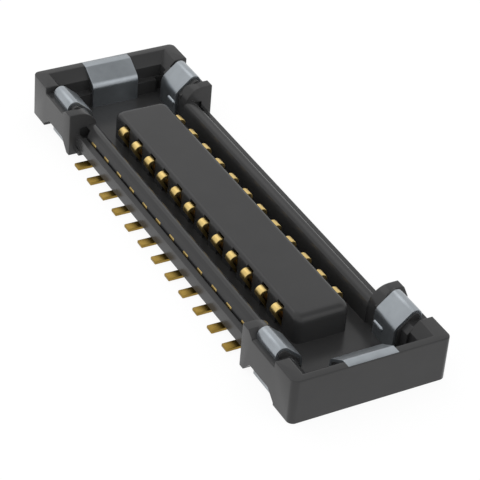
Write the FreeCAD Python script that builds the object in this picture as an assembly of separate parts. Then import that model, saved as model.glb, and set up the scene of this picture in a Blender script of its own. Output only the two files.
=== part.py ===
import FreeCAD, Part
import math
import os

# Fine pitch board-to-board receptacle, 24 positions in two rows of 12.
# Frame: +X along the length, +Y across the width, +Z up, origin on the
# soldering plane under the middle of the part. Millimetres.

# ---- driving dimensions -------------------------------------------------
pitch = 0.35            # contact spacing in a row
per_row = 12            # contacts in each row
length = 6.67           # housing length
width = 1.97            # housing width over the end blocks
height = 0.572          # housing top above the soldering plane
plan_r = 0.078          # vertical corner radius of the end blocks
edge_r = 0.014          # small break on the top outer edges

floor_top = 0.11        # floor of the mating cavity
under_z = 0.035         # underside of the floor between the legs

shoulder_x = 2.22       # end blocks begin here
shoulder_t = 0.125      # thickness of the full-height shoulder post
ramp_t = 0.09           # ramp from the post down to the saddle
saddle_z = 0.500        # flank top beside the metal arms
corner_x = 2.93         # corner blocks begin here

flat_x = 3.235          # inner edge of the flat rim on the end wall
flat_y = 0.82           # inner edge of the flat rim on the flanks
slope_x = 3.10          # foot of the lead-in slope, end wall
slope_y = 0.70          # foot of the lead-in slope, flanks
slope_z = 0.447
ledge_z = 0.29          # step in the end wall
ledge_x = 3.005

shoulder_r = 0.25       # crown radius of the shoulder profile
shoulder_yc = 0.86
flank_in = 0.615        # inner face of the flanks below the crown

wall_out = 0.885        # outer face of the long walls
wall_foot = 0.80        # foot of the walls, behind the solder tails' bends
skirt_z = 0.10          # lower edge of the outer face
shelf_z = 0.282         # shelf along the outside of the long walls
groove_out = 0.810      # channel along the shelf that shows the contact hoops
groove_in = 0.79
groove_z = 0.24         # its bottom
crest_z = 0.408         # crest of the long walls
crest_r = 0.105         # round-over on the inside of the crest
wall_in = 0.5985        # inner face of the long walls

island_half_x = 2.30
island_half_y = 0.346
island_top = 0.47
island_nose_r = 0.11
island_side_r = 0.070
island_plan_r = 0.10
slot_top = 0.44         # slots in the island's sides behind the contact caps
slot_gap = 0.01

sheet = 0.04            # stock thickness of the contacts and fittings
contact_w = 0.12        # contact width
lead_tip = 1.019        # half span over the solder tails
leg_y = 0.78            # rising leg inside the long wall
hoop_y = 0.706          # hoop buried in the wall crest
hoop_z = 0.25
down_y = 0.632
trough_z = 0.06
cap_y = 0.366           # rounded contact cap
cap_z = 0.343
cap_r = 0.052
spring_lean = 33.0      # lean of the leg that carries the cap, degrees
tuck_z = 0.25

arm_x0, arm_x1 = 2.42, 2.83   # side arms of the end fittings
arm_out = 0.90          # outer leg centreline
arm_in = 0.595          # inner leg centreline
arm_slope = 41.0        # slope of the arm, degrees
arm_yc, arm_zc, arm_r = 0.83, 0.5345, 0.07
arm_foot_r = 0.12       # bend from the slope into the inner leg
plate_half = 0.316      # half width of the plate on the end wall
plate_top = 0.574
plate_out = 3.326
plate_flat = 3.205
plate_in = 2.955
plate_slope = math.atan2(0.14, 0.2275)
web_z0 = 0.035

V = FreeCAD.Vector


# ---- sketch helpers -----------------------------------------------------
def rounded_edges(pts, to3d, closed=True):
    """Edges of a polygon (u, v, r) with corner radii r."""
    n = len(pts)
    segs = []
    ends = []
    for i, p in enumerate(pts):
        u, v, r = p if len(p) == 3 else (p[0], p[1], 0.0)
        if r <= 0 or (not closed and i in (0, n - 1)):
            ends.append(((u, v), None, (u, v)))
            continue
        a = pts[i - 1]
        b = pts[(i + 1) % n]
        d1 = (a[0] - u, a[1] - v)
        d2 = (b[0] - u, b[1] - v)
        l1 = math.hypot(*d1)
        l2 = math.hypot(*d2)
        d1 = (d1[0] / l1, d1[1] / l1)
        d2 = (d2[0] / l2, d2[1] / l2)
        cosang = max(-1.0, min(1.0, d1[0] * d2[0] + d1[1] * d2[1]))
        half = math.acos(cosang) / 2.0
        t = r / math.tan(half)
        bis = (d1[0] + d2[0], d1[1] + d2[1])
        lb = math.hypot(*bis)
        bis = (bis[0] / lb, bis[1] / lb)
        dist = r / math.sin(half)
        c = (u + bis[0] * dist, v + bis[1] * dist)
        mid = (c[0] - bis[0] * r, c[1] - bis[1] * r)
        ends.append(((u + d1[0] * t, v + d1[1] * t), mid,
                     (u + d2[0] * t, v + d2[1] * t)))
    m = n if closed else n - 1
    for i in range(n):
        s, mid, e = ends[i]
        if mid is not None:
            segs.append(Part.Arc(to3d(*s), to3d(*mid), to3d(*e)).toShape())
        if i < m:
            nx = ends[(i + 1) % n][0]
            if math.hypot(nx[0] - e[0], nx[1] - e[1]) > 1e-7:
                segs.append(Part.LineSegment(to3d(*e), to3d(*nx)).toShape())
    return segs


def face_of(pts, to3d):
    return Part.Face(Part.Wire(rounded_edges(pts, to3d)))


def along_x(pts, x0, x1):
    """Prism with a (y, z) section between x0 and x1."""
    f = face_of(pts, lambda u, v: V(x0, u, v))
    return f.extrude(V(x1 - x0, 0, 0))


def along_y(pts, y0, y1):
    """Prism with an (x, z) section between y0 and y1."""
    f = face_of(pts, lambda u, v: V(u, y0, v))
    return f.extrude(V(0, y1 - y0, 0))


def along_z(pts, z0, z1):
    """Prism with an (x, y) section between z0 and z1."""
    f = face_of(pts, lambda u, v: V(u, v, z0))
    return f.extrude(V(0, 0, z1 - z0))


def box(x0, x1, y0, y1, z0, z1):
    return Part.makeBox(x1 - x0, y1 - y0, z1 - z0, V(x0, y0, z0))


def offset_line(pts, d):
    """Offset an open bent line (u, v, r) by d to its left side."""
    n = len(pts)
    out = []
    dirs = []
    for i in range(n - 1):
        du = pts[i + 1][0] - pts[i][0]
        dv = pts[i + 1][1] - pts[i][1]
        l = math.hypot(du, dv)
        dirs.append((du / l, dv / l))
    for i, (u, v, r) in enumerate(pts):
        if i == 0:
            a = dirs[0]
            out.append((u - a[1] * d, v + a[0] * d, 0.0))
        elif i == n - 1:
            a = dirs[-1]
            out.append((u - a[1] * d, v + a[0] * d, 0.0))
        else:
            a, b = dirs[i - 1], dirs[i]
            cross = a[0] * b[1] - a[1] * b[0]
            n1 = (-a[1], a[0])
            n2 = (-b[1], b[0])
            s = (n1[0] + n2[0], n1[1] + n2[1])
            k = 1.0 + n1[0] * n2[0] + n1[1] * n2[1]
            rr = r - d if cross > 0 else r + d
            out.append((u + s[0] * d / k, v + s[1] * d / k, max(rr, 0.0)))
    return out


def strip_profile(pts, t):
    left = offset_line(pts, t / 2.0)
    right = offset_line(pts, -t / 2.0)
    return left + right[::-1]


def mirror_x(s):
    return s.mirror(V(0, 0, 0), V(1, 0, 0))


def mirror_y(s):
    return s.mirror(V(0, 0, 0), V(0, 1, 0))


def fuse_all(shapes):
    s = shapes[0]
    if len(shapes) > 1:
        s = s.multiFuse(shapes[1:])
    return s.removeSplitter()


def one_solid(s, name):
    sol = s.Solids
    if len(sol) != 1:
        raise RuntimeError("%s has %d solids" % (name, len(sol)))
    return sol[0]


# ---- contacts -----------------------------------------------------------
hoop_r = leg_y - hoop_y


def contact_line():
    """Centreline (y, z, bend radius) of a contact, from tail tip to tuck."""
    top = hoop_z + hoop_r
    lean = math.radians(spring_lean)
    cap_top = cap_z + cap_r
    # the spring leg touches the cap's arc and leans in towards its foot
    touch_y = cap_y + cap_r * math.cos(lean)
    touch_z = cap_z - cap_r * math.sin(lean)
    spring_top = touch_y + (cap_top - touch_z) * math.tan(lean)
    spring_foot = touch_y - (touch_z - trough_z) * math.tan(lean)
    return [
        (lead_tip, sheet / 2, 0),
        (leg_y, sheet / 2, 0.045),
        (leg_y, top, hoop_r * 0.999),
        (down_y, top, hoop_r * 0.999),
        (down_y, trough_z, 0.05),
        (spring_foot, trough_z, 0.05),
        (spring_top, cap_top, cap_r * 0.999),
        (cap_y - cap_r, cap_top, cap_r * 0.999),
        (cap_y - cap_r, tuck_z, 0),
    ]


profile = strip_profile(contact_line(), sheet)


def contact_at(x, side):
    s = along_x([(p[0] * side, p[1], p[2]) for p in profile],
                x - contact_w / 2, x + contact_w / 2)
    return s


contacts = {}
xs = [(i - (per_row - 1) / 2.0) * pitch for i in range(per_row)]
for i, x in enumerate(xs):
    contacts["contact_left_%02d" % (i + 1)] = contact_at(x, -1)
    contacts["contact_right_%02d" % (i + 1)] = contact_at(x, 1)


# ---- end fittings -------------------------------------------------------
def end_fitting():
    """Fitting of the +X end: plate, web in the floor and two side arms."""
    a = math.radians(arm_slope)
    tz = arm_zc + arm_r * math.cos(a)
    ty = arm_yc - arm_r * math.sin(a)
    z_out = tz + (arm_out - ty) * math.tan(a)
    z_in = tz - (ty - arm_in) * math.tan(a)
    arm_line = [
        (arm_out, 0, 0),
        (arm_out, z_out, arm_r),
        (arm_in, z_in, arm_foot_r),
        (arm_in, web_z0, 0),
    ]
    arm = along_x(strip_profile(arm_line, sheet), arm_x0, arm_x1)
    bump = Part.makeCylinder(0.034, 0.22, V(arm_x0, arm_in - 0.012, 0.27),
                             V(1, 0, 0))
    arm = fuse_all([arm, bump])
    h = sheet / 2
    slope = plate_slope
    # outer (upper) line of the plate, then its centreline below it
    z_low = plate_top - (plate_flat - plate_in) * math.tan(slope)
    upper = [
        (plate_out, plate_top, 0),
        (plate_flat, plate_top, 0.03),
        (plate_in, z_low, 0.12),
        (plate_in, web_z0, 0),
    ]
    # travelling inward along -x, the stock lies on the left hand (below)
    plate_sec = upper + offset_line(upper, sheet)[::-1]
    plate = along_y(plate_sec, -plate_half, plate_half)
    web = box(arm_x0, plate_in + sheet, -(arm_in + h), arm_in + h,
              web_z0, web_z0 + sheet)
    window = box(arm_x0 - 1, 2.87, -0.44, 0.44, 0, 0.2)
    web = web.cut(window)
    gap = box(arm_x1, plate_in, 0.46, 1.2, 0, 0.2)
    web = web.cut(gap).cut(mirror_y(gap))
    tie = box(arm_x1 - 0.05, 2.99, 0.40, 0.615, web_z0, web_z0 + sheet)
    s = fuse_all([arm, mirror_y(arm), plate, web, tie, mirror_y(tie)])
    return one_solid(s, "fitting")


fitting_plus = end_fitting()
fitting_minus = mirror_x(fitting_plus)


# ---- housing ------------------------------------------------------------
hl = length / 2
hw = width / 2


def plan_outline(x0, x1):
    return [(x0, -hw, 0), (x1, -hw, plan_r), (x1, hw, plan_r), (x0, hw, 0)]


def end_block():
    # corner blocks and end wall with the stepped, sloping cavity mouth
    b = along_z(plan_outline(corner_x, hl), 0, height)
    top = [e for e in b.Edges
           if abs(e.BoundBox.ZMin - height) < 1e-6
           and abs(e.BoundBox.ZMax - height) < 1e-6
           and not (abs(e.BoundBox.XMax - corner_x) < 1e-6)]
    b = b.makeFillet(edge_r, top)
    mouth = Part.makeLoft([
        Part.makePolygon([V(1.0, -slope_y, slope_z), V(slope_x, -slope_y, slope_z),
                          V(slope_x, slope_y, slope_z), V(1.0, slope_y, slope_z),
                          V(1.0, -slope_y, slope_z)]),
        Part.makePolygon([V(1.0, -flat_y, height), V(flat_x, -flat_y, height),
                          V(flat_x, flat_y, height), V(1.0, flat_y, height),
                          V(1.0, -flat_y, height)])], True, True)
    upper = box(1.0, slope_x, -slope_y, slope_y, ledge_z, slope_z)
    lower = box(1.0, ledge_x, -0.64, 0.64, floor_top, ledge_z)
    pocket = box(1.0, slope_x - 0.03, -slope_y, slope_y, floor_top, ledge_z)
    pocket = pocket.cut(box(0.9, 4.0, -0.60, 0.60, 0, 1.0))
    b = b.cut(mouth).cut(upper).cut(lower).cut(pocket)

    # seat that carries the plate, following its underside
    low = plate_top - 0.8 * sheet
    drop = (plate_flat - plate_in) * math.tan(plate_slope)
    turn = 0.8 * sheet * math.tan(plate_slope / 2)
    knee = 0.8 * sheet * math.tan((math.pi / 2 - plate_slope) / 2)
    seat = along_y([(3.30, floor_top - 0.01, 0), (3.30, low, 0), (plate_flat + turn, low, 0),
                    (plate_in + 0.8 * sheet, plate_top - drop - knee, 0.09),
                    (plate_in + 0.8 * sheet, floor_top - 0.01, 0)],
                   -plate_half, plate_half)
    b = b.fuse(seat)

    # shoulder post with its crown, then the ramp down to the saddle
    r = shoulder_r
    c = math.sqrt(0.5)

    def flank(x0, x1, top):
        cz = top - r
        p1 = V(x0, hw, 0)
        p2 = V(x0, hw, top)
        p3 = V(x0, shoulder_yc, top)
        pm = V(x0, shoulder_yc - r * c, cz + r * c)
        p4 = V(x0, shoulder_yc - r, cz)
        p5 = V(x0, shoulder_yc - r, 0)
        w = Part.Wire([Part.LineSegment(p1, p2).toShape(),
                       Part.LineSegment(p2, p3).toShape(),
                       Part.Arc(p3, pm, p4).toShape(),
                       Part.LineSegment(p4, p5).toShape(),
                       Part.LineSegment(p5, p1).toShape()])
        return Part.Face(w).extrude(V(x1 - x0, 0, 0))

    post = flank(shoulder_x, shoulder_x + shoulder_t + ramp_t, height)
    post_top = [e for e in post.Edges
                if abs(e.BoundBox.ZMin - height) < 1e-6
                and abs(e.BoundBox.YMin - hw) < 1e-6]
    post = post.makeFillet(edge_r, post_top)
    ramp = along_y([(shoulder_x + shoulder_t, height + 0.01, 0),
                    (shoulder_x + shoulder_t + ramp_t, saddle_z, 0),
                    (3.2, saddle_z, 0), (3.2, height + 0.01, 0)], 0, 1.2)
    post = post.cut(ramp)

    # saddle: flank under and beside the metal arm
    core_r = arm_r - sheet / 2 + 0.004   # the arm is let in, so they touch
    a = math.radians(arm_slope)
    ty = arm_yc - core_r * math.sin(a)
    tz = arm_zc + core_r * math.cos(a)
    z_in = tz - (ty - (flank_in)) * math.tan(a)
    core_y = arm_yc + core_r
    saddle = along_x([
        (hw, 0, 0), (hw, saddle_z - 0.006, 0.02), (core_y, saddle_z - 0.006, 0),
        (core_y, tz + (core_y - ty) * math.tan(a), core_r),
        (flank_in, z_in, 0.02), (flank_in, 0, 0)],
        shoulder_x + shoulder_t + 0.01, corner_x)
    saddle_end = along_x([
        (hw, 0, 0), (hw, saddle_z - 0.006, 0.02), (0.742, saddle_z - 0.006, 0.03),
        (0.665, 0.420, 0.012), (0.665, 0, 0)],
        arm_x1 - 0.05, corner_x + 0.02)
    saddle = saddle.cut(box(arm_x1 + 0.012, 4, 0, 1.2, -1, 1))
    parts = [b]
    for s in (post, saddle, saddle_end):
        parts += [s, mirror_y(s)]
    slab = box(shoulder_x - 0.1, corner_x + 0.1, -0.9, 0.9, under_z, floor_top)
    parts.append(slab)
    e = fuse_all(parts)

    # underside: relief between the legs and the notch at the solder feet
    e = e.cut(box(0, slope_x, -0.80, 0.80, -1, under_z))
    notch = along_y([(2.30, -0.1, 0), (2.305, 0.01, 0.01), (2.435, 0.148, 0.02),
                     (2.84, 0.148, 0.02), (2.97, 0.03, 0), (2.975, -0.1, 0)],
                    arm_out - sheet / 2, 1.3)
    e = e.cut(notch).cut(mirror_y(notch))
    # recess in the shoulder face, level with the outside groove
    pk = box(shoulder_x - 0.1, shoulder_x + 0.04, 0.70, 0.843, 0.20, 0.365)
    return e, pk


def long_wall():
    pts = [
        (wall_foot, under_z, 0),
        (wall_foot, skirt_z, 0),
        (wall_out, skirt_z, 0.006),
        (wall_out, shelf_z, 0.006),
        (groove_out, shelf_z, 0),
        (groove_out, groove_z, 0),
        (groove_in, groove_z, 0),
        (groove_in, shelf_z + 0.008, 0),
        (0.758, 0.360, 0.03),
        (0.722, crest_z - 0.004, 0.03),
        (wall_in, crest_z, crest_r),
        # the floor joins the wall below the cavity
        (wall_in - 0.0105, floor_top, 0),
        (0.5, floor_top, 0),
        (0.5, under_z, 0),
    ]
    return along_x(pts, -shoulder_x - 0.02, shoulder_x + 0.02)


def island():
    n = island_nose_r
    body = along_y([(-island_half_x, 0.05, 0), (island_half_x, 0.05, 0),
                    (island_half_x, island_top, n),
                    (-island_half_x, island_top, n)],
                   -island_half_y, island_half_y)
    plan = along_z([(-island_half_x, -island_half_y, island_plan_r),
                    (island_half_x, -island_half_y, island_plan_r),
                    (island_half_x, island_half_y, island_plan_r),
                    (-island_half_x, island_half_y, island_plan_r)], 0, 1)
    side = along_x([(-island_half_y, 0, 0), (-island_half_y, island_top, island_side_r),
                    (island_half_y, island_top, island_side_r),
                    (island_half_y, 0, 0)], -3, 3)
    return body.common(plan).common(side)


def build_housing():
    e, pk = end_block()
    wall = long_wall()
    slab = box(-shoulder_x - 0.1, shoulder_x + 0.1, -0.62, 0.62,
               under_z, floor_top)
    h = fuse_all([e, mirror_x(e), wall, mirror_y(wall), slab, island()])
    for s in (pk, mirror_x(pk), mirror_y(pk), mirror_x(mirror_y(pk))):
        h = h.cut(s)
    # slots beside the island that the contact caps spring into
    tools = []
    sw = contact_w + 2 * slot_gap
    for x in xs:
        for side in (-1, 1):
            y0, y1 = sorted((side * 0.26, side * 0.40))
            tools.append(box(x - sw / 2, x + sw / 2, y0, y1, floor_top, slot_top))
    h = h.cut(Part.makeCompound(tools))
    h = h.cut(Part.makeCompound(list(contacts.values())))
    h = h.cut(fitting_plus).cut(fitting_minus)
    return one_solid(h.removeSplitter(), "housing")


housing = build_housing()

# ---- write one file per piece ---------------------------------------------
os.makedirs("parts", exist_ok=True)
pieces = {"housing": housing,
          "end_fitting_near": fitting_plus,
          "end_fitting_far": fitting_minus}
for name, s in contacts.items():
    pieces[name] = one_solid(s, name)

for name, s in pieces.items():
    if not s.isValid():
        raise RuntimeError("invalid solid: " + name)
    s.exportStep("parts/%s.step" % name)
    print(name, "volume %.6f mm3" % s.Volume)
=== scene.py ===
import math

import bmesh
import bpy
from mathutils import Matrix, Vector


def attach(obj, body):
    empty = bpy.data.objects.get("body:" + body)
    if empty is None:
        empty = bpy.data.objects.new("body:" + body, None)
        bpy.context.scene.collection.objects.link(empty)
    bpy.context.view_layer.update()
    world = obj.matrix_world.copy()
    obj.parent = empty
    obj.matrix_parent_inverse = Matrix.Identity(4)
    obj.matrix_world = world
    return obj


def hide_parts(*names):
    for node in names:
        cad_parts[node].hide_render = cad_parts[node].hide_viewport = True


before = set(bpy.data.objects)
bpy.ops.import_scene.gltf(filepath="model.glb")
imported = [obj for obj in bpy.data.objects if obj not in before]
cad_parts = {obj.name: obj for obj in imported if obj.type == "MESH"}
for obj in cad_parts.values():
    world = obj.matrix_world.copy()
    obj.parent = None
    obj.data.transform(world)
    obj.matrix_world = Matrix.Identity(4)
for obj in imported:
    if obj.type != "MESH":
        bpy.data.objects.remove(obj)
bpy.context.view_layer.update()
scene = bpy.context.scene

# The same frame as the CAD: +X along the rows towards the near end, +Y across,
# +Z up, the solder plane at z = 0. Shapes are worked out in millimetres and
# brought to metres when a piece is finished.
MM = 0.001

pitch, per_row = 0.35, 12
length, width, height = 6.67, 1.97, 0.572
plan_r, edge_r = 0.078, 0.014
floor_top, under_z = 0.11, 0.035
shoulder_x, shoulder_t, ramp_t = 2.22, 0.125, 0.09
saddle_z, corner_x = 0.500, 2.93
flat_x, flat_y = 3.235, 0.82
slope_x, slope_y, slope_z = 3.10, 0.70, 0.447
ledge_z, ledge_x = 0.29, 3.005
shoulder_r, shoulder_yc, flank_in = 0.25, 0.86, 0.615
wall_out, wall_foot, skirt_z, shelf_z = 0.885, 0.80, 0.10, 0.282
groove_out, groove_in, groove_z = 0.810, 0.79, 0.24
crest_z, crest_r, wall_in = 0.408, 0.105, 0.5985
island_half_x, island_half_y, island_top = 2.30, 0.346, 0.47
island_nose_r, island_side_r, island_plan_r = 0.11, 0.070, 0.10
slot_top, slot_gap = 0.44, 0.01
sheet, contact_w, lead_tip = 0.04, 0.12, 1.019
leg_y, hoop_y, hoop_z, down_y, trough_z = 0.78, 0.706, 0.25, 0.632, 0.06
cap_y, cap_z, cap_r, spring_lean, tuck_z = 0.366, 0.343, 0.052, 33.0, 0.25
arm_x0, arm_x1, arm_out, arm_in, arm_slope = 2.42, 2.83, 0.90, 0.595, 41.0
arm_yc, arm_zc, arm_r, arm_foot_r = 0.83, 0.5345, 0.07, 0.12
plate_half, plate_top, plate_out, plate_flat, plate_in = 0.316, 0.574, 3.326, 3.205, 2.955
plate_slope, web_z0 = math.atan2(0.14, 0.2275), 0.035
hl, hw = length / 2, width / 2
xs = [(i - (per_row - 1) / 2.0) * pitch for i in range(per_row)]


# ---- mesh helpers -------------------------------------------------------------
def rounded(pts, closed=True, step=7.5):
    """The points of a polygon or bent line (u, v, r) with its corners rounded."""
    out, n = [], len(pts)
    for i, p in enumerate(pts):
        u, v = p[0], p[1]
        r = p[2] if len(p) > 2 else 0.0
        if r <= 0 or (not closed and i in (0, n - 1)):
            out.append((u, v))
            continue
        a, b = pts[i - 1], pts[(i + 1) % n]
        d1 = Vector((a[0] - u, a[1] - v)).normalized()
        d2 = Vector((b[0] - u, b[1] - v)).normalized()
        half = math.acos(max(-1.0, min(1.0, d1.dot(d2)))) / 2
        if half > math.pi / 2 - 1e-3:
            out.append((u, v))
            continue
        p0 = Vector((u, v))
        c = p0 + (d1 + d2).normalized() * (r / math.sin(half))
        s, e = p0 + d1 * (r / math.tan(half)), p0 + d2 * (r / math.tan(half))
        a0 = math.atan2(s.y - c.y, s.x - c.x)
        a1 = math.atan2(e.y - c.y, e.x - c.x)
        da = (a1 - a0 + math.pi) % (2 * math.pi) - math.pi
        k = max(2, math.ceil(abs(math.degrees(da)) / step))
        for j in range(k + 1):
            t = a0 + da * j / k
            out.append((c.x + r * math.cos(t), c.y + r * math.sin(t)))
    clean = []
    for q in out:
        if not clean or math.hypot(q[0] - clean[-1][0], q[1] - clean[-1][1]) > 2e-5:
            clean.append(q)
    if closed and math.hypot(clean[0][0] - clean[-1][0], clean[0][1] - clean[-1][1]) < 1e-5:
        clean.pop()
    return clean


def offset_line(pts, d):
    """An open bent line (u, v, r) moved by d to its left side."""
    n, out, dirs = len(pts), [], []
    for i in range(n - 1):
        du, dv = pts[i + 1][0] - pts[i][0], pts[i + 1][1] - pts[i][1]
        l = math.hypot(du, dv)
        dirs.append((du / l, dv / l))
    for i, (u, v, r) in enumerate(pts):
        if i in (0, n - 1):
            a = dirs[0 if i == 0 else -1]
            out.append((u - a[1] * d, v + a[0] * d, 0.0))
            continue
        a, b = dirs[i - 1], dirs[i]
        cross = a[0] * b[1] - a[1] * b[0]
        n1, n2 = (-a[1], a[0]), (-b[1], b[0])
        k = 1.0 + n1[0] * n2[0] + n1[1] * n2[1]
        rr = r - d if cross > 0 else r + d
        out.append((u + (n1[0] + n2[0]) * d / k, v + (n1[1] + n2[1]) * d / k, max(rr, 0.0)))
    return out


PLACE = {
    "x": lambda u, v, w: (w, u, v),
    "y": lambda u, v, w: (u, w, v),
    "z": lambda u, v, w: (u, v, w),
}


def loft(rings):
    """A closed mesh through rings of equal length, with a face at each end."""
    bm = bmesh.new()
    vs = [[bm.verts.new(p) for p in ring] for ring in rings]
    n = len(rings[0])
    for a, b in zip(vs, vs[1:]):
        for j in range(n):
            bm.faces.new((a[j], a[(j + 1) % n], b[(j + 1) % n], b[j]))
    bm.faces.new(vs[0])
    bm.faces.new(vs[-1])
    bmesh.ops.recalc_face_normals(bm, faces=bm.faces)
    return bm


def inset(pts, d):
    """A closed polygon (u, v, r) drawn in by d, with its rounded corners kept rounded."""
    n = len(pts)
    area = sum(pts[i - 1][0] * pts[i][1] - pts[i][0] * pts[i - 1][1] for i in range(n))
    side = d if area > 0 else -d
    out = []
    for i, p in enumerate(pts):
        a, b = pts[i - 1], pts[(i + 1) % n]
        d1 = Vector((p[0] - a[0], p[1] - a[1])).normalized()
        d2 = Vector((b[0] - p[0], b[1] - p[1])).normalized()
        n1, n2 = Vector((-d1.y, d1.x)), Vector((-d2.y, d2.x))
        k = 1.0 + n1.dot(n2)
        q = Vector((p[0], p[1])) + (n1 + n2) * (side / k)
        r = p[2] if len(p) > 2 else 0.0
        if r > 0:
            convex = (d1.x * d2.y - d1.y * d2.x) * area > 0
            r = max(r - d, 0.0012) if convex else r + d
        out.append((q.x, q.y, r))
    return out


def prism(pts, axis, a, b, soft=(0.0, 0.0)):
    """A prism with a rounded (u, v) section from a to b. soft rounds the edges at its two ends."""
    put = PLACE[axis]
    rings = []
    for w, s, way in ((a, soft[0], 1), (b, soft[1], -1)):
        part = []
        for t in (0, 22.5, 45, 67.5, 90) if s > 0 else (90,):
            t = math.radians(t)
            ring = rounded(inset(pts, s * (1 - math.sin(t)))) if s > 0 else rounded(pts)
            at = w + way * s * (1 - math.cos(t))
            part.append([put(u, v, at) for u, v in ring])
        rings += part if way > 0 else part[::-1]
    return loft(rings)


def box(x0, x1, y0, y1, z0, z1):
    return prism([(x0, y0), (x1, y0), (x1, y1), (x0, y1)], "z", z0, z1)


def mirrored(bm, *signs):
    c = bm.copy()
    for v in c.verts:
        v.co = Vector((v.co.x * signs[0], v.co.y * signs[1], v.co.z))
    if signs[0] * signs[1] < 0:
        bmesh.ops.reverse_faces(c, faces=c.faces)
    return c


def as_object(bm, name):
    me = bpy.data.meshes.new(name)
    bm.to_mesh(me)
    bm.free()
    o = bpy.data.objects.new(name, me)
    scene.collection.objects.link(o)
    return o


def combine(first, others, operation):
    """Boolean of one closed mesh with several, as a new closed mesh."""
    target = as_object(first, "work")
    group = bpy.data.collections.new("work")
    scene.collection.children.link(group)
    made = []
    for bm in others:
        o = as_object(bm, "work")
        scene.collection.objects.unlink(o)
        group.objects.link(o)
        made.append(o)
    mod = target.modifiers.new("work", "BOOLEAN")
    mod.operation, mod.solver = operation, "EXACT"
    mod.operand_type, mod.collection = "COLLECTION", group
    dg = bpy.context.evaluated_depsgraph_get()
    me = bpy.data.meshes.new_from_object(target.evaluated_get(dg))
    out = bmesh.new()
    out.from_mesh(me)
    for o in [target, *made]:
        old = o.data
        bpy.data.objects.remove(o)
        bpy.data.meshes.remove(old)
    bpy.data.collections.remove(group)
    bpy.data.meshes.remove(me)
    return out


def tidy(bm):
    bmesh.ops.remove_doubles(bm, verts=bm.verts, dist=2e-5)
    bmesh.ops.dissolve_limit(bm, angle_limit=math.radians(0.15), verts=bm.verts, edges=bm.edges)
    bmesh.ops.dissolve_degenerate(bm, dist=1e-5, edges=bm.edges)
    bmesh.ops.delete(bm, geom=[e for e in bm.edges if not e.link_faces], context="EDGES")
    bmesh.ops.delete(bm, geom=[v for v in bm.verts if not v.link_faces], context="VERTS")
    return bm


def piece(bm, name, node, material, sharp=38.0):
    """Finishes a mesh: metres, smooth shading with flat faces kept flat, finish and body."""
    bm.transform(Matrix.Scale(MM, 4))
    bmesh.ops.triangulate(bm, faces=[f for f in bm.faces if len(f.verts) > 4])
    o = as_object(bm, name)
    me = o.data
    me.shade_smooth()
    me.set_sharp_from_angle(angle=math.radians(sharp))
    wn = o.modifiers.new("weighted", "WEIGHTED_NORMAL")
    wn.keep_sharp, wn.weight, wn.mode = True, 60, "FACE_AREA"
    me.materials.append(material)
    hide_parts(node)
    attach(o, "root")
    return o


# ---- materials ------------------------------------------------------------------
def nodes_of(name):
    m = bpy.data.materials.new(name)
    m.use_nodes = True
    nt = m.node_tree
    bsdf = nt.nodes["Principled BSDF"]
    coord = nt.nodes.new("ShaderNodeTexCoord")
    return m, nt, bsdf, coord


def noise(nt, coord, scale, detail=3.0, stretch=None):
    vec = coord.outputs["Object"]
    if stretch:
        mp = nt.nodes.new("ShaderNodeMapping")
        mp.inputs["Scale"].default_value = stretch
        nt.links.new(vec, mp.inputs["Vector"])
        vec = mp.outputs["Vector"]
    n = nt.nodes.new("ShaderNodeTexNoise")
    n.inputs["Scale"].default_value = scale
    n.inputs["Detail"].default_value = detail
    nt.links.new(vec, n.inputs["Vector"])
    return n


def spread(nt, source, lo, hi):
    r = nt.nodes.new("ShaderNodeMapRange")
    r.inputs["From Min"].default_value = 0.3
    r.inputs["From Max"].default_value = 0.7
    r.inputs["To Min"].default_value = lo
    r.inputs["To Max"].default_value = hi
    nt.links.new(source, r.inputs["Value"])
    return r.outputs["Result"]


def two_tone(nt, source, a, b):
    ramp = nt.nodes.new("ShaderNodeValToRGB")
    ramp.color_ramp.elements[0].position = 0.3
    ramp.color_ramp.elements[1].position = 0.7
    ramp.color_ramp.elements[0].color = (*a, 1)
    ramp.color_ramp.elements[1].color = (*b, 1)
    nt.links.new(source, ramp.inputs["Fac"])
    return ramp.outputs["Color"]


def bump(nt, source, strength, distance, round_edges=0.0):
    b = nt.nodes.new("ShaderNodeBump")
    b.inputs["Strength"].default_value = strength
    b.inputs["Distance"].default_value = distance
    nt.links.new(source, b.inputs["Height"])
    if round_edges:
        r = nt.nodes.new("ShaderNodeBevel")
        r.samples = 6
        r.inputs["Radius"].default_value = round_edges
        nt.links.new(r.outputs["Normal"], b.inputs["Normal"])
    return b.outputs["Normal"]


def plastic():
    m, nt, bsdf, coord = nodes_of("black_moulding")
    cloud = noise(nt, coord, 2600.0, 4.0)
    grain = noise(nt, coord, 90000.0, 2.0)
    nt.links.new(two_tone(nt, cloud.outputs["Fac"], (0.0365, 0.0365, 0.0370), (0.0400, 0.0400, 0.0405)), bsdf.inputs["Base Color"])
    nt.links.new(spread(nt, cloud.outputs["Fac"], 0.20, 0.24), bsdf.inputs["Roughness"])
    bsdf.inputs["IOR"].default_value = 1.31
    nt.links.new(bump(nt, grain.outputs["Fac"], 0.10, 0.0000006, 0.000009), bsdf.inputs["Normal"])
    return m


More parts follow.
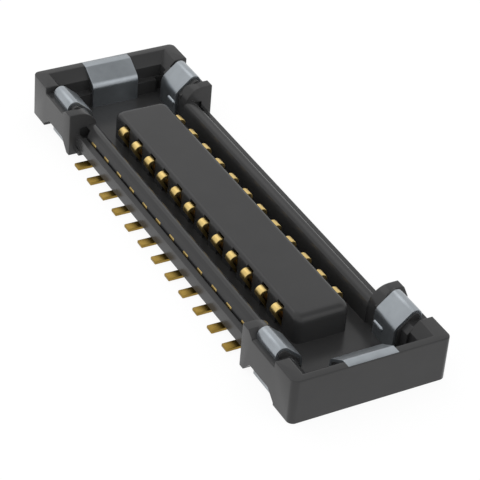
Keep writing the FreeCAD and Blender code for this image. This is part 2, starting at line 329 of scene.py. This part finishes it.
def plated(name, a, b, rough, stretch, round_edges, grain=30000.0, relief=0.12, metal=1.0, painted_shade_colours=None):
    m, nt, bsdf, coord = nodes_of(name)
    rolled = noise(nt, coord, grain, 3.0, stretch)
    cloud = noise(nt, coord, 9000.0, 3.0)
    tone = two_tone(nt, cloud.outputs["Fac"], a, b)
    if painted_shade_colours:
        # painted shade: the base colour is a darker, duller gold down at the solder side and turns to the full gold
        # towards the top, standing in for the shade near the body
        axes = nt.nodes.new("ShaderNodeSeparateXYZ")
        nt.links.new(coord.outputs["Object"], axes.inputs["Vector"])
        painted_shade_mask = nt.nodes.new("ShaderNodeMapRange")
        painted_shade_mask.interpolation_type = "SMOOTHSTEP"
        painted_shade_mask.inputs["From Min"].default_value = 0.16 * MM
        painted_shade_mask.inputs["From Max"].default_value = 0.37 * MM
        nt.links.new(axes.outputs["Z"], painted_shade_mask.inputs["Value"])
        mix = nt.nodes.new("ShaderNodeMix")
        mix.data_type = "RGBA"
        nt.links.new(painted_shade_mask.outputs["Result"], mix.inputs[0])
        nt.links.new(two_tone(nt, cloud.outputs["Fac"], *painted_shade_colours), mix.inputs[6])
        nt.links.new(tone, mix.inputs[7])
        tone = mix.outputs[2]
    nt.links.new(tone, bsdf.inputs["Base Color"])
    nt.links.new(spread(nt, rolled.outputs["Fac"], *rough), bsdf.inputs["Roughness"])
    bsdf.inputs["Metallic"].default_value = metal
    nt.links.new(bump(nt, rolled.outputs["Fac"], relief, 0.0000010, round_edges), bsdf.inputs["Normal"])
    return m


PLASTIC = plastic()
# the gold's second pair of colours is painted shade: a darker gold low on the contacts, going over to the full gold
# higher up
GOLD = plated("gold_plating", (0.66, 0.48, 0.175), (0.74, 0.555, 0.225), (0.33, 0.42), (1.0, 0.25, 0.25), 0.0, 30000.0, 0.08, 1.0,
              painted_shade_colours=((0.255, 0.165, 0.036), (0.300, 0.200, 0.050)))
SILVER = plated("tin_plating", (0.300, 0.325, 0.348), (0.332, 0.360, 0.385), (0.28, 0.34), (0.12, 1.0, 1.0), 0.0, 60000.0, 0.03, 0.86)


# ---- contacts and end fittings -----------------------------------------------
def cross_section(half, thick, r, k=3):
    """A flat strip's section (s, n), anticlockwise, with rounded edges."""
    out = []
    for cx, cy, a0 in ((half - r, thick / 2 - r, 0), (-half + r, thick / 2 - r, 90),
                       (-half + r, -thick / 2 + r, 180), (half - r, -thick / 2 + r, 270)):
        for j in range(k + 1):
            a = math.radians(a0 + 90 * j / k)
            out.append((cx + r * math.cos(a), cy + r * math.sin(a)))
    return out


def strip(line, half, thick, r, put, ends=(0.0, 0.0), step=7.5):
    """A bent strip swept along a rounded line (u, v, r). put(u, v, s) gives the point in space."""
    path = rounded(line, closed=False, step=step)
    tang = []
    for i in range(len(path)):
        a, b = path[max(i - 1, 0)], path[min(i + 1, len(path) - 1)]
        p = path[i]
        d = Vector((0.0, 0.0))
        for q0, q1 in ((a, p), (p, b)):
            w = Vector((q1[0] - q0[0], q1[1] - q0[1]))
            if w.length > 1e-9:
                d += w.normalized()
        tang.append(d.normalized())
    rings = []

    def ring(p, t, grow):
        sec = cross_section(half - grow, thick - 2 * grow, r)
        return [put(p[0] - t.y * n, p[1] + t.x * n, s) for s, n in sec]

    for i, (p, t) in enumerate(zip(path, tang)):
        q = Vector(p)
        if i == 0 and ends[0]:
            rings.append(ring(q, t, ends[0]))
            rings.append(ring(q + t * ends[0] * 0.35, t, ends[0] * 0.35))
            rings.append(ring(q + t * ends[0], t, 0.0))
        elif i == len(path) - 1 and ends[1]:
            rings.append(ring(q - t * ends[1], t, 0.0))
            rings.append(ring(q - t * ends[1] * 0.35, t, ends[1] * 0.35))
            rings.append(ring(q, t, ends[1]))
        else:
            rings.append(ring(q, t, 0.0))
    return loft(rings)


hoop_r = leg_y - hoop_y
lean = math.radians(spring_lean)
# the spring leg touches the cap's arc and leans in towards its foot
touch_y, touch_z = cap_y + cap_r * math.cos(lean), cap_z - cap_r * math.sin(lean)
contact_line = [
    (lead_tip, sheet / 2, 0),
    (leg_y, sheet / 2, 0.045),
    (leg_y, hoop_z + hoop_r, hoop_r * 0.999),
    (down_y, hoop_z + hoop_r, hoop_r * 0.999),
    (down_y, trough_z, 0.05),
    (touch_y - (touch_z - trough_z) * math.tan(lean), trough_z, 0.05),
    (touch_y + (cap_z + cap_r - touch_z) * math.tan(lean), cap_z + cap_r, cap_r * 0.999),
    (cap_y - cap_r, cap_z + cap_r, cap_r * 0.999),
    (cap_y - cap_r, tuck_z, 0),
]
for i, x in enumerate(xs):
    for side, word in ((-1, "left"), (1, "right")):
        bm = strip(contact_line, contact_w / 2, sheet, 0.007,
                   lambda u, v, s: (x + s, side * u, v), ends=(0.008, 0.006), step=6.0)
        node = "contact_%s_%02d" % (word, i + 1)
        piece(bm, node + "_detail", node, GOLD, sharp=50)


def end_fitting():
    """The fitting of the +X end in millimetres."""
    a = math.radians(arm_slope)
    tz = arm_zc + arm_r * math.cos(a)
    ty = arm_yc - arm_r * math.sin(a)
    z_out = tz + (arm_out - ty) * math.tan(a)
    z_in = tz - (ty - arm_in) * math.tan(a)
    arm_line = [(arm_out, 0, 0), (arm_out, z_out, arm_r), (arm_in, z_in, arm_foot_r), (arm_in, web_z0 + 0.001, 0)]
    mid = (arm_x0 + arm_x1) / 2
    arm = strip(arm_line, (arm_x1 - arm_x0) / 2, sheet, 0.005,
                lambda u, v, s: (mid + s, u, v), ends=(0.006, 0.0), step=5.0)
    # the locking bump pressed out of the arm's inner leg
    rings = []
    for f in (0.0, 0.25, 0.55, 0.8, 0.95, 1.0):
        k = math.sin(math.radians(90 * f)) ** 0.7 if f else 0.25
        rings.append((arm_x0 + 0.006 + 0.030 * f, 0.034 * max(k, 0.3)))
    rings += [(arm_x0 + 0.20 - 0.030 * f, 0.034 * max(math.sin(math.radians(90 * f)) ** 0.7, 0.3))
              for f in (1.0, 0.95, 0.8, 0.55, 0.25, 0.0)]
    bumps = loft([[(x, arm_in - 0.012 + r * math.cos(math.radians(t)), 0.27 + r * math.sin(math.radians(t)))
                   for t in range(0, 360, 12)] for x, r in rings])
    z_low = plate_top - (plate_flat - plate_in) * math.tan(plate_slope)
    upper = [(plate_out, plate_top, 0), (plate_flat, plate_top, 0.055),
             (plate_in, z_low, 0.12), (plate_in, web_z0 + 0.001, 0)]
    centre = offset_line(upper, sheet / 2)
    plate = strip(centre, plate_half, sheet, 0.005, lambda u, v, s: (u, s, v), ends=(0.008, 0.0), step=5.0)
    h = sheet / 2
    z0, z1 = web_z0 - 0.0012, web_z0 + sheet
    inner, outer = 0.44, arm_in + h
    web = prism([(arm_x0, -outer, 0.01), (2.87, -outer, 0.0), (2.87, -inner, 0.03), (arm_x0, -inner, 0.01)], "z", z0, z1)
    bar = prism([(2.87 - 0.02, -0.46), (plate_in + sheet + 0.012, -0.46, 0.02), (plate_in + sheet + 0.012, 0.46, 0.02), (2.87 - 0.02, 0.46)], "z", z0, z1)
    tie = prism([(arm_x1 - 0.05, 0.40), (2.985, 0.40), (2.985, outer, 0.02), (arm_x1 - 0.05, outer, 0.02)], "z", z0 + 0.0004, z1 - 0.0004)
    other = [mirrored(arm, 1, -1), plate, mirrored(bumps, 1, -1), bumps, mirrored(web, 1, -1), web, bar,
             mirrored(tie, 1, -1), tie]
    return combine(arm, other, "UNION")


fitting = tidy(end_fitting())
piece(mirrored(fitting, -1, 1), "end_fitting_far_detail", "end_fitting_far", SILVER, sharp=50)
piece(fitting, "end_fitting_near_detail", "end_fitting_near", SILVER, sharp=50)


# ---- housing -------------------------------------------------------------------
def island():
    """The centre bar: plan outlines that draw in towards the rounded top."""
    rings = []
    levels = [0.05, island_top - island_nose_r]
    levels += [island_top - island_nose_r * (1 - math.sin(math.radians(a))) for a in range(6, 91, 6)]
    levels = sorted(set(levels + [island_top - island_side_r * (1 - math.sin(math.radians(a))) for a in range(0, 91, 9)]))
    keep = []
    for z in levels:
        if not keep or z - keep[-1] > 2e-4:
            keep.append(z)
    keep[-1] = island_top
    for z in keep:
        dx = dy = 0.0
        if z > island_top - island_nose_r:
            q = z - (island_top - island_nose_r)
            dx = island_nose_r - math.sqrt(max(island_nose_r ** 2 - q * q, 0.0))
        if z > island_top - island_side_r:
            q = z - (island_top - island_side_r)
            dy = island_side_r - math.sqrt(max(island_side_r ** 2 - q * q, 0.0))
        a, b = island_half_x - dx, island_half_y - dy
        r = island_plan_r - 0.35 * (dx + dy) / 2
        ring = []
        for cx, cy, a0 in ((a - r, b - r, 0), (-a + r, b - r, 90), (-a + r, -b + r, 180), (a - r, -b + r, 270)):
            for j in range(11):
                t = math.radians(a0 + 9 * j)
                ring.append((cx + r * math.cos(t), cy + r * math.sin(t), z))
        rings.append(ring)
    return loft(rings)


def end_block():
    """One end of the housing, the +X one."""
    block = prism([(corner_x, -hw, 0.006), (hl, -hw, plan_r), (hl, hw, plan_r), (corner_x, hw, 0.006)],
                  "z", 0, height, soft=(0.006, edge_r))

    def rect(px, py, z):
        return [(1.0, -py, z), (px, -py, z), (px, py, z), (1.0, py, z)]

    mouth = loft([rect(slope_x, slope_y, slope_z), rect(flat_x - 0.009, flat_y - 0.0083, height - 0.0083),
                  rect(flat_x - 0.0025, flat_y - 0.0025, height - 0.0035),
                  rect(flat_x + 0.0035, flat_y + 0.0035, height - 0.0010),
                  rect(flat_x + 0.009, flat_y + 0.009, height),
                  rect(flat_x + 0.009, flat_y + 0.009, height + 0.05)])
    cuts = [mouth, box(0.99, slope_x, -slope_y, slope_y, ledge_z, slope_z + 0.0001),
            box(0.98, ledge_x, -0.64, 0.64, floor_top, ledge_z + 0.0001)]
    pocket = box(0.97, slope_x - 0.03, 0.60, slope_y - 0.0001, floor_top, ledge_z + 0.0002)
    cuts += [mirrored(pocket, 1, -1), pocket]
    block = combine(block, cuts, "DIFFERENCE")

    # the seat that carries the plate, following its underside
    low = plate_top - 0.8 * sheet
    drop = (plate_flat - plate_in) * math.tan(plate_slope)
    turn = 0.8 * sheet * math.tan(plate_slope / 2)
    knee = 0.8 * sheet * math.tan((math.pi / 2 - plate_slope) / 2)
    seat = prism([(3.30, floor_top - 0.01), (3.30, low), (plate_flat + turn, low),
                  (plate_in + 0.8 * sheet, plate_top - drop - knee, 0.09),
                  (plate_in + 0.8 * sheet, floor_top - 0.01)], "y", 0.003 - plate_half, plate_half - 0.003)

    post = prism([(hw, 0), (hw, height, edge_r), (shoulder_yc - shoulder_r, height, shoulder_r),
                  (shoulder_yc - shoulder_r, 0)], "x", shoulder_x, shoulder_x + shoulder_t + ramp_t, soft=(0.009, 0.0))
    top_x, low_x = shoulder_x + shoulder_t, shoulder_x + shoulder_t + ramp_t
    ramp = prism([(top_x - 0.02, height + 0.05), (top_x, height, 0.012), (low_x, saddle_z, 0.01), (3.2, saddle_z), (3.2, height + 0.05)], "y", 0, 1.2)
    post = combine(post, [ramp], "DIFFERENCE")

    core_r = arm_r - sheet / 2 + 0.004
    a = math.radians(arm_slope)
    ty = arm_yc - core_r * math.sin(a)
    tz = arm_zc + core_r * math.cos(a)
    z_in = tz - (ty - flank_in) * math.tan(a)
    core_y = arm_yc + core_r
    saddle = prism([(hw, 0), (hw, saddle_z - 0.006, 0.02), (core_y, saddle_z - 0.006),
                    (core_y, tz + (core_y - ty) * math.tan(a), core_r), (flank_in, z_in, 0.02), (flank_in, 0)],
                   "x", shoulder_x + shoulder_t + 0.01, arm_x1 + 0.012, soft=(0.0, 0.004))
    saddle_end = prism([(hw, 0), (hw, saddle_z - 0.0065, 0.02), (0.742, saddle_z - 0.0065, 0.03),
                        (0.665, 0.420, 0.012), (0.665, 0)], "x", arm_x1 - 0.05, corner_x + 0.02)
    slab = box(shoulder_x - 0.1, corner_x + 0.1, -0.9, 0.9, under_z, floor_top)
    parts = [slab, seat]
    for s in (post, saddle, saddle_end):
        parts += [mirrored(s, 1, -1), s]
    e = combine(block, parts, "UNION")
    notch = prism([(2.30, -0.1), (2.305, 0.01, 0.012), (2.435, 0.148, 0.02), (2.84, 0.148, 0.02),
                   (2.97, 0.03, 0.01), (2.975, -0.1)], "y", arm_out - sheet / 2, 1.3)
    return combine(e, [box(0, slope_x, -0.80, 0.80, -1, under_z), mirrored(notch, 1, -1), notch], "DIFFERENCE")


def long_wall():
    return prism([
        (wall_foot, under_z, 0.006), (wall_foot, skirt_z), (wall_out, skirt_z, 0.006), (wall_out, shelf_z, 0.007),
        (groove_out, shelf_z, 0.004), (groove_out, groove_z, 0.003), (groove_in, groove_z, 0.003),
        (groove_in, shelf_z + 0.008, 0.005), (0.758, 0.360, 0.03), (0.722, crest_z - 0.004, 0.03),
        (wall_in, crest_z, crest_r), (wall_in - 0.0105, floor_top, 0.0), (0.5, floor_top), (0.5, under_z),
    ], "x", -shoulder_x - 0.02, shoulder_x + 0.02)


first_end = end_block()
second_end = mirrored(first_end, -1, 1)
right_wall = long_wall()
left_wall = mirrored(right_wall, 1, -1)
middle = box(-shoulder_x - 0.1, shoulder_x + 0.1, -0.62, 0.62, under_z, floor_top)
body = combine(first_end, [second_end, left_wall, right_wall, middle, island()], "UNION")
tools = []
pk = box(shoulder_x - 0.1, shoulder_x + 0.04, 0.70, 0.843, 0.20, 0.365)
tools += [mirrored(pk, -1, 1), mirrored(pk, 1, -1), mirrored(pk, -1, -1), pk]
sw = contact_w + 2 * slot_gap
for x in xs:
    slot_box = box(x - sw / 2, x + sw / 2, 0.26, 0.40, floor_top, slot_top)
    tools += [mirrored(slot_box, 1, -1), slot_box]
body = tidy(combine(body, tools, "DIFFERENCE"))
piece(body, "housing_detail", "housing", PLASTIC, sharp=32)


# ---- floor, light, camera -------------------------------------------------------
floor_mesh = bmesh.new()
bmesh.ops.create_grid(floor_mesh, x_segments=2, y_segments=2, size=0.12)
floor = as_object(floor_mesh, "floor")
floor.location = (0, 0, -2e-7)
fm, fnt, fb, fc = nodes_of("pale_floor")
soft = noise(fnt, fc, 60.0, 1.0)
fnt.links.new(two_tone(fnt, soft.outputs["Fac"], (0.105, 0.105, 0.105), (0.11, 0.11, 0.11)), fb.inputs["Base Color"])
fb.inputs["Roughness"].default_value = 0.9
fb.inputs["Specular IOR Level"].default_value = 0.0
fb.inputs["Emission Color"].default_value = (1, 1, 1, 1)
fb.inputs["Emission Strength"].default_value = 0.91
floor.data.materials.append(fm)

world = bpy.data.worlds.new("studio")
scene.world = world
world.use_nodes = True
wt = world.node_tree
wt.nodes["Background"].inputs["Color"].default_value = (1, 1, 1, 1)
# an even tent of light, with a darker part high above the far side
way = wt.nodes.new("ShaderNodeTexCoord")
dark = wt.nodes.new("ShaderNodeVectorMath")
dark.operation = "DOT_PRODUCT"
dark.inputs[1].default_value = (0.146, 0.380, 0.914)
wt.links.new(way.outputs["Generated"], dark.inputs[0])
tent = wt.nodes.new("ShaderNodeMapRange")
tent.interpolation_type = "SMOOTHSTEP"
tent.inputs["From Min"].default_value = 0.84
tent.inputs["From Max"].default_value = 0.98
tent.inputs["To Min"].default_value = 1.0
tent.inputs["To Max"].default_value = 0.42
wt.links.new(dark.outputs["Value"], tent.inputs["Value"])
lobe = wt.nodes.new("ShaderNodeVectorMath")
lobe.operation = "DOT_PRODUCT"
lobe.inputs[1].default_value = (0.66, 0.41, 0.63)
wt.links.new(way.outputs["Generated"], lobe.inputs[0])
panel = wt.nodes.new("ShaderNodeMapRange")
panel.interpolation_type = "SMOOTHSTEP"
panel.inputs["From Min"].default_value = 0.93
panel.inputs["From Max"].default_value = 0.98
panel.inputs["To Min"].default_value = 0.0
panel.inputs["To Max"].default_value = 0.55
wt.links.new(lobe.outputs["Value"], panel.inputs["Value"])
both = wt.nodes.new("ShaderNodeMath")
both.operation = "ADD"
wt.links.new(tent.outputs["Result"], both.inputs[0])
wt.links.new(panel.outputs["Result"], both.inputs[1])
wt.links.new(both.outputs["Value"], wt.nodes["Background"].inputs["Strength"])


def lamp(name, loc, size, energy):
    data = bpy.data.lights.new(name, "AREA")
    data.shape, data.size, data.energy = "DISK", size, energy
    o = bpy.data.objects.new(name, data)
    o.location = loc
    o.rotation_mode = "QUATERNION"
    o.rotation_quaternion = (-Vector(loc)).to_track_quat("-Z", "Y")
    scene.collection.objects.link(o)
    return o


lamp("back_light", (-0.0350, -0.0030, 0.0355), 0.027, 0.0014)

cam_data = bpy.data.cameras.new("camera")
cam = bpy.data.objects.new("camera", cam_data)
scene.collection.objects.link(cam)
scene.camera = cam
az, el, roll = math.radians(58.6681), math.radians(35.4935), math.radians(5.0397)
back = Vector((math.sin(az) * math.cos(el), -math.cos(az) * math.cos(el), math.sin(el)))
right = Vector((0, 0, 1)).cross(back).normalized()
up = back.cross(right)
cr = math.cos(roll) * right + math.sin(roll) * up
cu = -math.sin(roll) * right + math.cos(roll) * up
cam.matrix_world = Matrix((
    (cr.x, cu.x, back.x, 0.01729318652),
    (cr.y, cu.y, back.y, -0.01028811662),
    (cr.z, cu.z, back.z, 0.01428604596),
    (0, 0, 0, 1),
))
cam_data.sensor_width = 36.0
cam_data.lens = 36.0 * 2087.0748 / 480.0
cam_data.clip_start, cam_data.clip_end = 0.0005, 2.0
cam_data.dof.use_dof = False

scene.view_settings.view_transform = "Standard"
scene.view_settings.look = "None"
scene.view_settings.exposure = 0.0
scene.view_settings.gamma = 1.0
